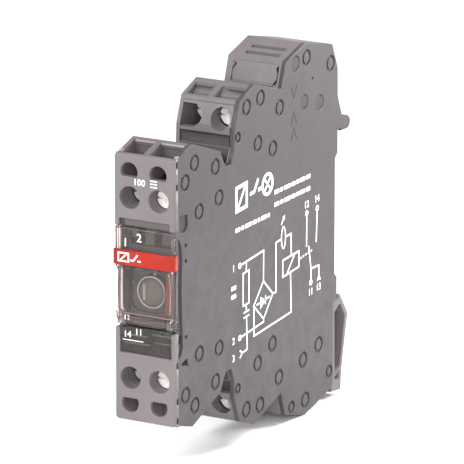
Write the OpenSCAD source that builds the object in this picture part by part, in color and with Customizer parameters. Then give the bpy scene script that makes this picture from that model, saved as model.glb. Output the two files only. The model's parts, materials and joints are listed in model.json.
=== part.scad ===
// Slim plug-in interface relay that hangs on a 35 mm top-hat rail.
// Frame: +X along the rail, +Y towards the rail, +Z up. The origin is the middle of the rail seat.

/* [Casing] */
// Width of the casing along the rail
case_w = 12.86; // [12.6:0.02:13.1]
// Thickness of the shell's outer rim
rim_t = 1.0; // [0.8:0.1:1.1]
// Thickness of the shell's closed side
side_t = 0.8; // [0.6:0.1:0.8]
// Thickness of the removable side cover
cover_t = 0.9; // [0.7:0.1:0.9]
// Depth of the casing, from rail seat to the front edge of its sides
case_d = 63.9; // [63.6:0.1:64]

/* [Front] */
// Distance of the front plates' faces from the rail seat
face_d = 65.3; // [65.2:0.1:65.5]
// Thickness of the front plates
plate_t = 1.3; // [1.1:0.1:1.3]
// Width of the front plates
plate_w = 13.2; // [13:0.1:13.4]
// Radius of the round screwdriver holes
driver_r = 2.15; // [2.05:0.05:2.2]
// Radius of the round lens
lens_r = 3.2; // [2.8:0.1:3.2]
// Height of the lens axis above the middle of the rail
lens_z = -1; // [-1.2:0.1:0]

/* [Terminals] */
// Height of the front terminal screws above the middle of the rail
front_z = 17.8; // [17.6:0.1:17.9]
// Height of the upper-tier terminal screws above the middle of the rail
mid_z = 28.6; // [28.4:0.1:28.6]
// Radius of the screw heads
head_r = 1.95; // [1.7:0.05:1.95]
// Radius of the screw shanks
shank_r = 1.5; // [1.2:0.1:1.5]
// How far a screw travels between open and clamped
clamp_travel = 2; // [1.5:0.1:2.1]

/* [Rail] */
// Width of the rail over its flanges
rail_w = 35; // [34.9:0.1:35.1]
// How far the spring foot slides down to let go of the rail
foot_travel = 2.5; // [2:0.1:2.6]

/* [Hidden] */
$fn = 48;
EPS = 0.01;
half_w = case_w / 2;
inner_l = -half_w + side_t;           // inner face of the shell's closed side
inner_r = half_w - cover_t;           // inner face of the side cover
front_y = -case_d;
face_y = -face_d;
plate_back_y = face_y + plate_t;
term_x = [-3.3, 3.0];                 // the two terminal columns
front_head_y = -62.3;                 // front of an open screw head, front tier
mid_head_y = -38;                     // the same, upper tier
thread_gap = 0.05;
board_y = -17;                        // front face of the circuit board
board_t = 1.6;
hinge_y = -64.2;                      // hinge line of the clear cover
hinge_z = -6.5;
hinge_pin_r = 0.6;
marker_tilt = 18.8;                   // lean of the rear tier's front face
marker_at = [0, -22.35, 33.3];
relay_pins_at = [[-2.5, -8.8], [2.5, -8.8], [0, 6.35], [2.9, 4.9], [0, 8.65]];
pin_side = 0.8;
coil_z = -3.6;
test_hole_r = 1.8;                    // D-shaped test holes above the screwdriver holes
test_hole_z = 22.85;
rib_x = [-0.95, 0.3];                 // rib between the two columns of wire pockets
front_pocket_y = [-64.9, -59.1];
tier_pocket_y = [-39.5, -35.7];

// Upper edge of the casing, from the front to the rear, as [y, z]
upper_run = [[front_y, 26.3], [-58.4, 27.95], [-47.5, 24.1], [-46.1, 21.6], [-45.1, 20.5],
    [-43.2, 20.5], [-42.2, 23], [-42, 26.9], [-40, 32.1], [-34.2, 34.25], [-23.2, 30.95],
    [-21.5, 35.95], [-13.6, 38.2], [-2.4, 35.6], [-0.1, 30.4]];
// Rear edge, from the top to the bottom, with the two rail seats and the foot's guide face
rear_run = [[0, 24.6], [0, 12.9], [-1, 11.9], [-1, -11.9], [0, -12.9], [0, -17.6],
    [-1.4, -17.6], [-1.4, -33.2]];
lower_run = [for (i = [len(upper_run) - 2:-1:0]) [upper_run[i][0], -upper_run[i][1]]];
outline = concat(upper_run, rear_run, lower_run);

// Round marks moulded in the side cover, as [y, z]: the first list has a twin below
twin_marks = [[-57.4, 24], [-49.4, 21.4], [-61, 21], [-48, 15], [-55.7, 14.1], [-37.2, 30.4],
    [-31.7, 31], [-24, 27.4], [-40.6, 25.2], [-32.7, 22.2], [-26.7, 19.8], [-13.1, 35.1], [-3.1, 31.8]];
low_marks = [[-14.1, -26.5], [-7.6, -25], [-18.8, -35], [-60.9, -7.2]];
cover_holes = [[-17.6, 34.8], [-14, 26.3], [-7.6, 24.9]];
mark_r = 1.7;

// Hook over the upper rail flange, as [y, z]
hook_top = rail_w / 2 + 0.1;
hook = [[-EPS, 24.6], [1.9, 19.9], [4.1, 19.7], [4.8, 19.3], [5.2, 18.7], [5.2, 18], [4.8, 17.3],
    [4, 17], [1.3, 17.1], [1.3, hook_top], [-EPS, hook_top]];

function unit(v) = v / norm(v);
function right_of(a, b) = let (d = unit(b - a)) [d[1], -d[0]];
// A clockwise outline moved inwards by t
function inset(p, t) = [for (i = [0:len(p) - 1])
    let (n = len(p),
         u = right_of(p[(i + n - 1) % n], p[i]),
         v = right_of(p[i], p[(i + 1) % n]))
    p[i] + t * (u + v) / (1 + u * v)];
// Terminals 1-2 front top, 3-4 front bottom, 5-6 upper tier, 7-8 lower tier
function term_is_front(i) = i <= 4;
function term_is_top(i) = i <= 2 || i == 5 || i == 6;
function term_at(i) = [term_x[(i + 1) % 2],
    term_is_front(i) ? front_head_y : mid_head_y,
    (term_is_front(i) ? front_z : mid_z) * (term_is_top(i) ? 1 : -1)];
// The left column is drawn clamped, the right column open
function term_depth(i) = i % 2 == 1 ? clamp_travel : 0;

// Extrudes a [y, z] outline from x0 to x1
module along_x(x0, x1) {
    translate([x0, 0, 0]) rotate([90, 0, 90]) linear_extrude(x1 - x0) children();
}
// A box between two corners
module block(a, b) {
    translate(a) cube(b - a);
}
// A round bar along +Y
module bar_y(r, l) {
    rotate([-90, 0, 0]) cylinder(r = r, h = l);
}
// A round bar along +X
module bar_x(r, l) {
    rotate([0, 90, 0]) cylinder(r = r, h = l);
}
// The same thing above and below the middle of the rail
module both_halves() {
    children();
    mirror([0, 0, 1]) children();
}

// Wire pockets through a sloping roof, between two y and two z values
module roof_pockets(y, z) {
    block([inner_l, y[0], z[0]], [rib_x[0], y[1], z[1]]);
    block([rib_x[1], y[0], z[0]], [inner_r + EPS, y[1], z[1]]);
}

// Room for the clear cover's hinge knuckles in the sides of the casing
module hinge_hollow(x0, x1) {
    translate([x0, hinge_y, hinge_z]) bar_x(hinge_pin_r + 0.6, x1 - x0);
}

module housing_shell() color("#8d888c") {
    difference() {
        along_x(-half_w, inner_r) polygon(outline);
        difference() {
            along_x(inner_l, half_w) polygon(inset(outline, rim_t));
            // rear wall of the front wire pockets, and the rib between them
            both_halves() {
                along_x(inner_l - EPS, inner_r + EPS)
                    polygon([[front_pocket_y[1], 28], [-58.1, 28], [-56.6, 21.2], [-57.6, 21.2]]);
                block([rib_x[0], front_y + EPS, 21.2], [rib_x[1], -58.2, 28]);
                block([rib_x[0], tier_pocket_y[0], 31.2], [rib_x[1], -35, 33.6]);
            }
            // ribs that hold the relay and the circuit board
            both_halves() {
                block([inner_l - EPS, -46.6, 11.1], [inner_l + 1.2, -20, 12.1]);
                block([inner_l - EPS, board_y - 1.2, 28.2], [inner_r, board_y, 36]);
            }
        }
        // the front is open between the roof and the floor
        block([inner_l, front_y - 1, -25.2], [half_w, -62, 25.2]);
        both_halves() {
            roof_pockets(front_pocket_y, [25, 28.5]);
            roof_pockets(tier_pocket_y, [31, 34.5]);
            // opening for the tier plate
            block([inner_l, -43, 23.4], [half_w, -38.6, 31.35]);
        }
        // two blind slots in the rear roof
        for (at = [[-17.1, 36.5], [-19.5, 35.85]])
            block([-3.7, at[0] - 0.6, at[1]], [4, at[0] + 0.6, 38]);
        // window of the marker cover
        translate(marker_at) rotate([-marker_tilt, 0, 0])
            block([-5.1, -2, -1.95], [5.1, 1.6, 1.75]);
        // guide slot of the spring foot
        block([-2.2, -3, -29], [2.2, 0, -19]);
        hinge_hollow(-half_w - 1, inner_l + EPS);
    }
    along_x(-half_w, inner_r) polygon(hook);
}

// A ring groove around a round disc
module ring_mark(at) {
    translate([half_w - 0.3, at[0], at[1]]) difference() {
        bar_x(mark_r, 1);
        translate([-EPS, 0, 0]) bar_x(mark_r - 0.35, 1);
    }
}

// A shallow engraved chevron that points down, or up when turned
module chevron(y, z, turn) {
    translate([half_w - 0.2, y, z]) rotate([turn, 0, 0]) along_x(0, 1)
        polygon([[-1.3, 2.6], [-0.95, 2.6], [0, 0.5], [0.95, 2.6], [1.3, 2.6], [0.15, 0], [-0.15, 0]]);
}

module side_cover() color("#87838a") {
    difference() {
        along_x(inner_r, half_w) polygon(outline);
        for (at = twin_marks) {
            ring_mark(at);
            ring_mark([at[0], -at[1]]);
        }
        for (at = low_marks) ring_mark(at);
        for (at = cover_holes) translate([inner_r - 1, at[0], at[1]]) bar_x(mark_r - 0.1, 3);
        // round-ended slot behind the top plate and the notch behind the bottom plate
        translate([inner_r - 1, -61.7, 12.9]) bar_x(1.3, 3);
        block([inner_r - 1, -63, 12.9], [half_w + 1, -60.4, 15.1]);
        along_x(inner_r - 1, half_w + 1) polygon([[-62.3, -15.3], [-60.1, -13.9], [-60.9, -12.2]]);
        // small peg holes
        for (z = [8.7, 5.6, -9.4]) translate([inner_r - 1, -60.8, z]) bar_x(0.4, 3);
        // hollow where the clear cover's edge is gripped
        translate([inner_r - 1, front_y - 0.3, 5]) bar_x(1.3, 3);
        hinge_hollow(inner_r - EPS, half_w + 1);
        chevron(-18.2, 27.9, 0);
        chevron(-18.2, 25.4, 180);
        chevron(-18.2, 22.2, 180);
    }
    along_x(inner_r, half_w) polygon(hook);
}

// Screwdriver holes with their guide tubes, and D-shaped test holes, for the top plate
module plate_solid(z0, z1) {
    block([-plate_w / 2, face_y, z0], [plate_w / 2, plate_back_y, z1]);
    intersection() {
        for (x = term_x) translate([x, plate_back_y - EPS, front_z]) bar_y(driver_r + 0.4, 3.4);
        block([inner_l + 0.1, -70, 0], [inner_r - 0.1, -50, 30]);
    }
}

module plate_holes() {
    for (x = term_x) {
        translate([x, face_y - 1, front_z]) bar_y(driver_r, 8);
        intersection() {
            translate([x - 0.1, face_y - 1, test_hole_z]) bar_y(test_hole_r, 8);
            block([x - 3, face_y - 2, test_hole_z - 0.95], [x + 3, face_y + 8, test_hole_z + 3]);
        }
    }
}

module top_terminal_plate() color("#a39b9e") {
    difference() {
        plate_solid(12.15, 26.3);
        plate_holes();
        // step along the lower edge, over the clear cover
        block([-5.6, face_y - 1, 12], [5.3, face_y + 0.5, 13.6]);
    }
}

module bottom_terminal_plate() color("#a39b9e") {
    mirror([0, 0, 1]) difference() {
        union() {
            plate_solid(12.9, 26.3);
            for (x = [-plate_w / 2, 5.65])
                block([x, face_y, 8], [x + 0.95, plate_back_y, 12.9 + EPS]);
        }
        plate_holes();
    }
}

// Plate between the side walls of the upper tier: one round hole, one slot open to the side
module upper_tier_plate() color("#979093") {
    difference() {
        union() {
            along_x(inner_l + 0.05, inner_r - 0.05) polygon([[-40.35, 31.3], [-41.85, 27.3], [-42.4, 27.1],
                [-42.4, 25.9], [-41.6, 25.6], [-41.6, 23.5], [-40.6, 23.5], [-40.6, 27.2], [-39.1, 31.3]]);
            // guide tubes, the left one only half round
            intersection() {
                for (x = term_x) translate([x, -42, mid_z]) bar_y(driver_r + 0.3, 4);
                along_x(term_x[0], inner_r - 0.05) polygon([[-40.3, 31.3], [-41.8, 27.3], [-41.8, 25.9],
                    [-38.2, 25.9], [-38.2, 31.3]]);
            }
        }
        for (x = term_x) translate([x, -45, mid_z]) bar_y(driver_r, 8);
        block([inner_l - 1, -45, mid_z - driver_r], [term_x[0], -37, mid_z + driver_r]);
    }
}

module lower_tier_plate() {
    mirror([0, 0, 1]) upper_tier_plate();
}

// Dark panel behind the clear cover, with the lens seat and two hinge ears
module front_bezel() color("#4a474a") {
    difference() {
        union() {
            block([inner_l + 0.2, -61.4, -7.6], [inner_r - 0.2, -60.4, 12]);
            for (x = [-5.3, 4.5])
                along_x(x, x + 0.8) polygon([[-65.1, -7.1], [-65.1, -5.9], [-64.6, -5.4], [-61.3, -5.4],
                    [-61.3, -7.6], [-64.6, -7.6]]);
            for (z = [2.6, 9.2]) block([-4.6, -61.8, z], [-3.4, -61.3, z + 1.4]);
            block([0.1, -61.9, 2.5], [0.7, -61.3, 3.9]);
        }
        translate([0, -66, lens_z]) bar_y(lens_r + 0.1, 8);
        translate([-7, hinge_y, hinge_z]) bar_x(hinge_pin_r, 14);
    }
}

module cover_hinge_pin() color("#b8a8aa") {
    translate([-half_w + 0.1, hinge_y, hinge_z]) bar_x(hinge_pin_r, case_w - 0.2);
}

// Outward bulge of the clear cover's window at height z
function bulge(z, r, top) = sqrt(max(0, r * r - (z + 0.5) * (z + 0.5))) - r + top;

module clear_cover() color("#b8a8aa", 0.4) {
    bulge_r = 12;
    arc_z = [for (k = [0:12]) -5.2 + k * 9.6 / 12];
    difference() {
        union() {
            // front wall
            along_x(-6.4, 6.4) polygon([[-65.3, -5.2], [-65.3, 12], [-64.4, 12], [-64.4, -5.2]]);
            along_x(-6.0, 6.0) polygon(concat([[-64.5, -5.2]],
                [for (z = arc_z) [-65.3 - bulge(z, bulge_r, 1), z]], [[-64.5, 4.4]]));
            // side walls
            for (x = [-6.4, 5.6]) block([x, -65.3, -5.2], [x + 0.8, -64, 12]);
            // hinge knuckles and the web that joins them to the front wall
            for (s = [[-6.4, -5.45], [-4.35, 4.35], [5.45, 6.4]]) {
                translate([s[0], hinge_y, hinge_z]) bar_x(1, s[1] - s[0]);
                block([s[0], -65.2, -6.6], [s[1], -64.4, -5.1]);
            }
        }
        // hollow of the bulge
        along_x(-5.2, 5.2) polygon(concat([[-64, -4.4]],
            [for (z = arc_z) if (z > -4.5 && z < 3.8) [-64.5 - bulge(z, bulge_r, 1), z]], [[-64, 3.7]]));
        translate([-7, hinge_y, hinge_z]) bar_x(hinge_pin_r + 0.06, 14);
    }
}

module red_band() color("#e1462f") {
    difference() {
        block([-6.6, -65.75, 4.6], [6.6, -64.1, 7.6]);
        block([-6.4, -65.3, 4], [6.4, -64, 8]);
    }
}

module label_window() color("#6b6063", 0.5) {
    block([-5.55, -64.9, -12.8], [5.55, -64.1, -7.8]);
}

module light_guide() color("#c9c9c0", 0.6) {
    translate([0, 0, lens_z]) {
        translate([0, -62.9, 0]) bar_y(lens_r - 0.5, 0.5);
        translate([0, -62.5, 0]) bar_y(lens_r, 1.7);
        translate([0, -60.9, 0]) bar_y(1.5, 3.6);
    }
}

module status_led() color("#d8e0d0") {
    translate([0, -57.2, lens_z]) {
        translate([0, 0.1, 0]) bar_y(1.4, 2.9);
        translate([0, 3, 0]) bar_y(1.7, 1.2);
    }
}

module led_board() color("#2f5d3a") {
    block([-5, -53, -8], [5, -52, 6]);
}

// How far the marker cover bows out at x, with a radius r and half its width
function marker_bow(x, r, half) = sqrt(r * r - x * x) - sqrt(r * r - half * half);

module marker_cover() color("#8f898d") {
    half = 4.95;
    translate(marker_at) rotate([-marker_tilt, 0, 0]) {
        translate([0, 0, -1.8]) linear_extrude(3.4) polygon(concat(
            [for (k = [0:10]) let (x = -half + k * half / 5) [x, -0.08 - marker_bow(x, 29, half)]],
            [[half, 0.3], [-half, 0.3]]));
        // spring legs
        for (x = [-3.6, 2.4]) block([x, 0.3 - EPS, -1.7], [x + 1.2, 1.4, -1.1]);
    }
}

// Moulded spring loop behind the lower rail flange, with its guide shoe in the shell
module rail_foot() color("#a9a1a6") {
    top_z = -rail_w / 2 - 0.15;
    along_x(-6.2, 6.2) difference() {
        polygon([[-1.25, top_z], [1.15, top_z], [1.25, top_z + 0.75], [1.8, top_z + 0.75], [4.7, -20.9],
            [5.15, -21.8], [3.4, -29.5], [2.65, -33.5], [2.3, -37.1], [-1.9, -36.6], [-1.25, -34]]);
        // long window
        polygon([[-0.45, -20.2], [1.3, -19.1], [2, -19.1], [3.85, -21.8], [2.4, -29.4], [1.9, -32], [-0.3, -33.4]]);
        // short window
        polygon([[1.7, -32.9], [1.5, -34.6], [-0.3, -34.4], [-0.4, -34]]);
    }
    block([-2, -2.6, -24.4], [2, -1.25 + EPS, -19.4]);
    block([-3.2, -3.5, -24.4], [3.2, -2.6 + EPS, -19.4]);
}

module circuit_board() color("#2f6b43") {
    difference() {
        block([-5.3, board_y, -27.5], [5.2, board_y + board_t, 27.5]);
        pin_holes();
    }
}

module pin_holes() {
    for (p = relay_pins_at)
        block([p[0] - pin_side / 2 - 0.05, -25, p[1] - pin_side / 2 - 0.05],
            [p[0] + pin_side / 2 + 0.05, -10, p[1] + pin_side / 2 + 0.05]);
}

module relay_base() color("#39393b") {
    difference() {
        block([-5, -18.6, -10.9], [5, board_y, 10.9]);
        pin_holes();
    }
}

module relay_case() color("#c8c2b6") {
    difference() {
        block([-5, -45.4, -10.9], [5, -18.6, 10.9]);
        block([-4.5, -44.9, -10.4], [4.5, -18, 10.4]);
    }
}

module relay_pins() color("#c9b27a") {
    for (p = relay_pins_at)
        block([p[0] - pin_side / 2, -19, p[1] - pin_side / 2],
            [p[0] + pin_side / 2, board_y + board_t + 0.3, p[1] + pin_side / 2]);
}

module coil_bobbin() color("#e9e6dc") {
    translate([0, 0, coil_z]) difference() {
        union() {
            translate([0, -40.4, 0]) bar_y(4.2, 0.8);
            translate([0, -21.6, 0]) bar_y(4.2, 0.8);
            translate([0, -40.2, 0]) bar_y(2.4, 19);
        }
        translate([0, -42, 0]) bar_y(1.9, 22);
    }
}

module coil_winding() color("#b5651d") {
    translate([0, 0, coil_z]) difference() {
        translate([0, -39.55, 0]) bar_y(4, 17.9);
        translate([0, -42, 0]) bar_y(2.45, 22);
    }
}

module magnet_core() color("#9aa0a6") {
    translate([0, 0, coil_z]) {
        translate([0, -41.2, 0]) bar_y(3, 0.7);
        translate([0, -41.2, 0]) bar_y(1.8, 20.75);
    }
}

module magnet_yoke() color("#9aa0a6") {
    block([-3.6, -20.4, -8], [3.6, -19.3, 3]);
    block([-3.6, -41.5, 1.9], [3.6, -19.4, 3]);
}

// Pivots on the yoke's front edge; its rear arm lifts the moving contact
module armature() color("#aab0b5") {
    block([-3.4, -42.9, -6.8], [3.4, -41.9, 3.2]);
    block([-1.6, -42.9, 3.1], [1.6, -41.9, 4.3]);
    block([-1.6, -42.9, 3.5], [1.6, -33, 4.3]);
    block([-0.8, -34.2, 4.2], [0.8, -33.2, 6.1]);
}

module moving_contact() color("#c98a4b") {
    block([-1.5, -41.2, 6.2], [1.5, -19.9, 6.5]);
    for (z = [5.72, 6.49]) translate([0, -40.1, z]) cylinder(r = 0.9, h = 0.49);
}

module make_contact() color("#c98a4b") {
    block([-1.5, -42, 8.5], [1.5, -19.1, 8.8]);
    translate([0, -40.1, 7.95]) cylinder(r = 0.9, h = 0.56);
}

module break_contact() color("#c98a4b") {
    block([2.2, -42, 4.75], [3.6, -19.1, 5.05]);
    block([-1, -42, 4.75], [2.3, -38.8, 5.05]);
    translate([0, -40.1, 5.04]) cylinder(r = 0.9, h = 0.62);
}

module bridge_rectifier() color("#2a2a2c") {
    block([-4, board_y + board_t, 12], [4, board_y + board_t + 3, 20]);
}

module series_capacitor() color("#b8322a") {
    block([-4.8, board_y + board_t + 0.4, -9], [4.8, -5.5, 9.6]);
}

module series_resistor() color("#c9b58a") {
    translate([0, board_y + board_t + 2, -24]) {
        cylinder(r = 1.8, h = 12);
        translate([0, 0, -1]) cylinder(r = 0.35, h = 14);
    }
}

// L-shaped strip from a terminal box back to the circuit board
module busbar(i, run_z) {
    at = term_at(i);
    up = term_is_top(i) ? 1 : -1;
    bar_y0 = at[1] + 9.2;
    z_end = abs(at[2]) + 2.1;
    mirror([0, 0, up > 0 ? 0 : 1]) {
        block([at[0] - 1.5, bar_y0, run_z], [at[0] + 1.5, bar_y0 + 1, z_end]);
        block([at[0] - 1.5, bar_y0, run_z], [at[0] + 1.5, board_y - 0.05, run_z + 1]);
    }
}

module front_busbars() color("#c7a252") {
    for (i = [1:4]) busbar(i, 12.7);
}

module tier_busbars() color("#c7a252") {
    for (i = [5:8]) busbar(i, 16.8);
}

// Clamp boxes: threaded front wall, open above and below for the wire
module terminal_boxes() color("#bfc3c7") {
    for (i = [1:8]) translate(term_at(i)) difference() {
        block([-2.25, 3.8, -2.2], [2.25, 11.2, 2.2]);
        block([-1.65, 5.3, -3], [1.65, 10.3, 3]);
        bar_y(shank_r + thread_gap, 6);
    }
}

module terminal_screw(i) color("#d9dbdd") {
    translate(term_at(i) + [0, term_depth(i), 0]) difference() {
        union() {
            bar_y(head_r, 1.6);
            translate([0, 1.5, 0]) bar_y(shank_r, 4);
        }
        block([-head_r - 1, -1, -0.3], [head_r + 1, 0.8, 0.3]);
        block([-0.3, -1, -1.3], [0.3, 0.8, 1.3]);
    }
}

module clamp_plate(i) color("#c4c8cb") {
    translate(term_at(i) + [0, term_depth(i) + 5.5, 0]) block([-1.5, 0, -2.1], [1.5, 0.6, 2.1]);
}

housing_shell();
side_cover();
top_terminal_plate();
bottom_terminal_plate();
upper_tier_plate();
lower_tier_plate();
front_bezel();
clear_cover();
red_band();
cover_hinge_pin();
label_window();
light_guide();
status_led();
led_board();
marker_cover();
rail_foot();
circuit_board();
relay_base();
relay_case();
coil_bobbin();
coil_winding();
magnet_core();
magnet_yoke();
armature();
moving_contact();
make_contact();
break_contact();
relay_pins();
bridge_rectifier();
series_capacitor();
series_resistor();
front_busbars();
tier_busbars();
terminal_boxes();
for (i = [1:8]) {
    terminal_screw(i);
    clamp_plate(i);
}
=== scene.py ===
"""Looks of the slim interface relay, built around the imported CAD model. Metres, in the model's own frame."""
import json
import math

import bmesh
import bpy
from mathutils import Matrix, Vector


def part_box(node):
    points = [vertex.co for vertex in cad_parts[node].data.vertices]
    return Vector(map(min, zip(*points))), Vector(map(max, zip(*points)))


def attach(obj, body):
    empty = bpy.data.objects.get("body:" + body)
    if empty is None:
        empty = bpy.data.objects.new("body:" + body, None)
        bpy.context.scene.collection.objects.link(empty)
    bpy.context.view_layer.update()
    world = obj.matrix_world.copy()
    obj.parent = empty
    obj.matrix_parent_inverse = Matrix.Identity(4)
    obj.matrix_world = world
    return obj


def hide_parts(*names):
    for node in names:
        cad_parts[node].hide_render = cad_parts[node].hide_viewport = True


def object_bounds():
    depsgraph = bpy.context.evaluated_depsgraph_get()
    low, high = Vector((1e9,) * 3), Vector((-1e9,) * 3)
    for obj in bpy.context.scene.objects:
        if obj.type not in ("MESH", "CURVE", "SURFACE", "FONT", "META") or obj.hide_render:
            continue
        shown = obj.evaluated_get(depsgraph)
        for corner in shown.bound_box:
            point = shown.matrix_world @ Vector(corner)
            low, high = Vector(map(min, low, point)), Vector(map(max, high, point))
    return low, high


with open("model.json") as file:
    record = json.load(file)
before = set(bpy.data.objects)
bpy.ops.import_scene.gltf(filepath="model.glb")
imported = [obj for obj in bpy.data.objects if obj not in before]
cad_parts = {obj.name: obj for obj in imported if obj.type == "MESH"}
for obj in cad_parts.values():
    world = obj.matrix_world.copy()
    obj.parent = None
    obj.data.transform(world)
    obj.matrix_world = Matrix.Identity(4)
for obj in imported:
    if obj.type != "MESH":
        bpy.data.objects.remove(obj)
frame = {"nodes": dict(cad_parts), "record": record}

CAD_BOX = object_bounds()
NODES = frame["nodes"]
MM = 0.001

# ---------------------------------------------------------------- driving dimensions, in millimetres
TERM_X = (-3.3, 3.0)                # the two terminal columns
FACE_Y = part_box("top_terminal_plate")[0].y / MM     # front of the terminal plates
SIDE_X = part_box("side_cover")[1].x / MM             # outer face of the side cover
LENS_Z = -1.0                       # middle of the light guide
INK = 0.03                          # thickness of the printed ink
INK_SUNK = 0.01                     # how far the ink reaches into its surface

# ---------------------------------------------------------------- material helpers


class Nodes:
    """A material's node tree with short calls for the nodes used here."""

    def __init__(self, name):
        self.material = bpy.data.materials.new(name)
        self.material.use_nodes = True
        self.tree = self.material.node_tree
        self.shader = self.tree.nodes["Principled BSDF"]
        coords = self.tree.nodes.new("ShaderNodeTexCoord")
        self.place = coords.outputs["Object"]

    def add(self, kind, **values):
        node = self.tree.nodes.new(kind)
        for key, value in values.items():
            setattr(node, key, value)
        return node

    def link(self, a, b):
        self.tree.links.new(a, b)

    def noise(self, size_mm, detail=3.0, roughness=0.55, stretch=None):
        """Noise whose blobs are about size_mm across."""
        node = self.add("ShaderNodeTexNoise")
        node.inputs["Scale"].default_value = 1.0 / (size_mm * MM)
        node.inputs["Detail"].default_value = detail
        node.inputs["Roughness"].default_value = roughness
        source = self.place
        if stretch:
            mapping = self.add("ShaderNodeMapping")
            mapping.inputs["Scale"].default_value = stretch
            self.link(source, mapping.inputs["Vector"])
            source = mapping.outputs["Vector"]
        self.link(source, node.inputs["Vector"])
        return node.outputs["Fac"]

    def ramp(self, source, stops):
        """Colour ramp from a list of (position, colour)."""
        node = self.add("ShaderNodeValToRGB")
        elements = node.color_ramp.elements
        while len(elements) < len(stops):
            elements.new(0.5)
        for element, (position, colour) in zip(elements, stops):
            element.position = position
            element.color = (*colour, 1.0)
        self.link(source, node.inputs["Fac"])
        return node.outputs["Color"]

    def span(self, source, low, high):
        """Maps noise to the range low to high."""
        node = self.add("ShaderNodeMapRange")
        node.inputs["From Min"].default_value = 0.3
        node.inputs["From Max"].default_value = 0.7
        node.inputs["To Min"].default_value = low
        node.inputs["To Max"].default_value = high
        self.link(source, node.inputs["Value"])
        return node.outputs["Result"]

    def rounded(self, radius_mm=0.14):
        """Normals that round the sharp edges off."""
        node = self.add("ShaderNodeBevel", samples=4)
        node.inputs["Radius"].default_value = radius_mm * MM
        return node.outputs["Normal"]

    def bump(self, source, depth_mm, under=None):
        """Relief from a height, on top of the normals under it."""
        node = self.add("ShaderNodeBump")
        node.inputs["Distance"].default_value = depth_mm * MM
        node.inputs["Strength"].default_value = 1.0
        self.link(source, node.inputs["Height"])
        if under:
            self.link(under, node.inputs["Normal"])
        return node.outputs["Normal"]

    def edges(self, rounded, wear_and_highlight_colour, base, amount):
        """Lightens the corners, where the rounded normal leaves the true one: partly wear, partly a painted
        highlight.
        """
        geometry = self.add("ShaderNodeNewGeometry")
        agreement = self.add("ShaderNodeVectorMath", operation="DOT_PRODUCT")
        self.link(rounded, agreement.inputs[0])
        self.link(geometry.outputs["Normal"], agreement.inputs[1])
        mask = self.add("ShaderNodeMapRange")
        mask.inputs["From Min"].default_value = 0.99
        mask.inputs["From Max"].default_value = 0.86
        mask.inputs["To Max"].default_value = amount
        self.link(agreement.outputs["Value"], mask.inputs["Value"])
        mix = self.add("ShaderNodeMix", data_type="RGBA")
        mix.inputs["B"].default_value = (*wear_and_highlight_colour, 1.0)
        self.link(mask.outputs["Result"], mix.inputs["Factor"])
        self.link(base, mix.inputs["A"])
        return mix.outputs["Result"]

    def set(self, **sockets):
        """Links or sets the shader's sockets, and returns the finished material."""
        for key, value in sockets.items():
            socket = self.shader.inputs[key.replace("_", " ")]
            if hasattr(value, "is_linked"):
                self.link(value, socket)
            elif isinstance(value, tuple):
                socket.default_value = (*value, 1.0)
            else:
                socket.default_value = value
        return self.material


def scaled(colour, k):
    """A colour made lighter or darker."""
    return tuple(min(1.0, c * k) for c in colour)


def moulded_plastic(name, colour, roughness=0.5, grain=0.35, depth=0.012, specular=0.35, edge=1.35):
    """Spark-eroded plastic: fine grain, slow colour drift, slightly uneven gloss, and corners lightened as
    wear and as painted highlight.
    """
    n = Nodes(name)
    drift = n.ramp(n.noise(9, 2), [(0.3, scaled(colour, 0.95)), (0.7, scaled(colour, 1.05))])
    rounded = n.rounded()
    # lighter corners: partly wear, partly a painted highlight
    worn_and_highlit = n.edges(rounded, scaled(colour, edge), drift, 0.35)
    wavy = n.bump(n.noise(6, 1), 0.02, under=rounded)
    fine = n.bump(n.noise(grain, 2, 0.6), depth, under=wavy)
    return n.set(Base_Color=worn_and_highlit, Roughness=n.span(n.noise(2.5, 3), roughness - 0.06, roughness + 0.08),
                 Normal=fine, Specular_IOR_Level=specular)


def plated_metal(name, colour, roughness=0.22, streak=(1, 1, 1), depth=0.0006, metallic=0.9):
    """Plated or rolled metal with faint drawn streaks."""
    n = Nodes(name)
    tint = n.ramp(n.noise(1.5, 3), [(0.3, scaled(colour, 0.9)), (0.7, scaled(colour, 1.05))])
    fine = n.bump(n.noise(0.12, 2, 0.6, streak), depth, under=n.rounded(0.08))
    return n.set(Base_Color=tint, Metallic=metallic, Normal=fine,
                 Roughness=n.span(n.noise(0.8, 3), roughness - 0.07, roughness + 0.1))


def clear_plastic(name, colour, roughness=0.05, transmission=1.0):
    """Clear moulding with faint flow waves and fine scratches."""
    n = Nodes(name)
    waves = n.bump(n.noise(3.5, 2), 0.03)
    scratches = n.bump(n.noise(0.25, 2, 0.6, (1, 1, 0.08)), 0.002, under=waves)
    tint = n.ramp(n.noise(5, 2), [(0.3, scaled(colour, 0.94)), (0.7, colour)])
    gloss = n.span(n.noise(1.2, 3), max(0.0, roughness - 0.02), roughness + 0.04)
    return n.set(Base_Color=tint, Roughness=gloss, Normal=scratches,
                 Transmission_Weight=transmission, IOR=1.22)


def ink(name, colour):
    """Pad-printed ink, slightly broken at the surface."""
    n = Nodes(name)
    tint = n.ramp(n.noise(0.5, 3), [(0.25, scaled(colour, 0.86)), (0.6, colour)])
    return n.set(Base_Color=tint, Roughness=0.55, Normal=n.bump(n.noise(0.3, 2), 0.004))


def varied(name, dark, light, size, roughness, depth=0.01, metallic=0.0, stretch=None, specular=0.4):
    """General two-tone surface for the inner pieces."""
    n = Nodes(name)
    tint = n.ramp(n.noise(size, 3, 0.6, stretch), [(0.3, dark), (0.7, light)])
    return n.set(Base_Color=tint, Roughness=roughness, Metallic=metallic, Specular_IOR_Level=specular,
                 Normal=n.bump(n.noise(size * 0.4, 2, 0.6, stretch), depth))


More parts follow.
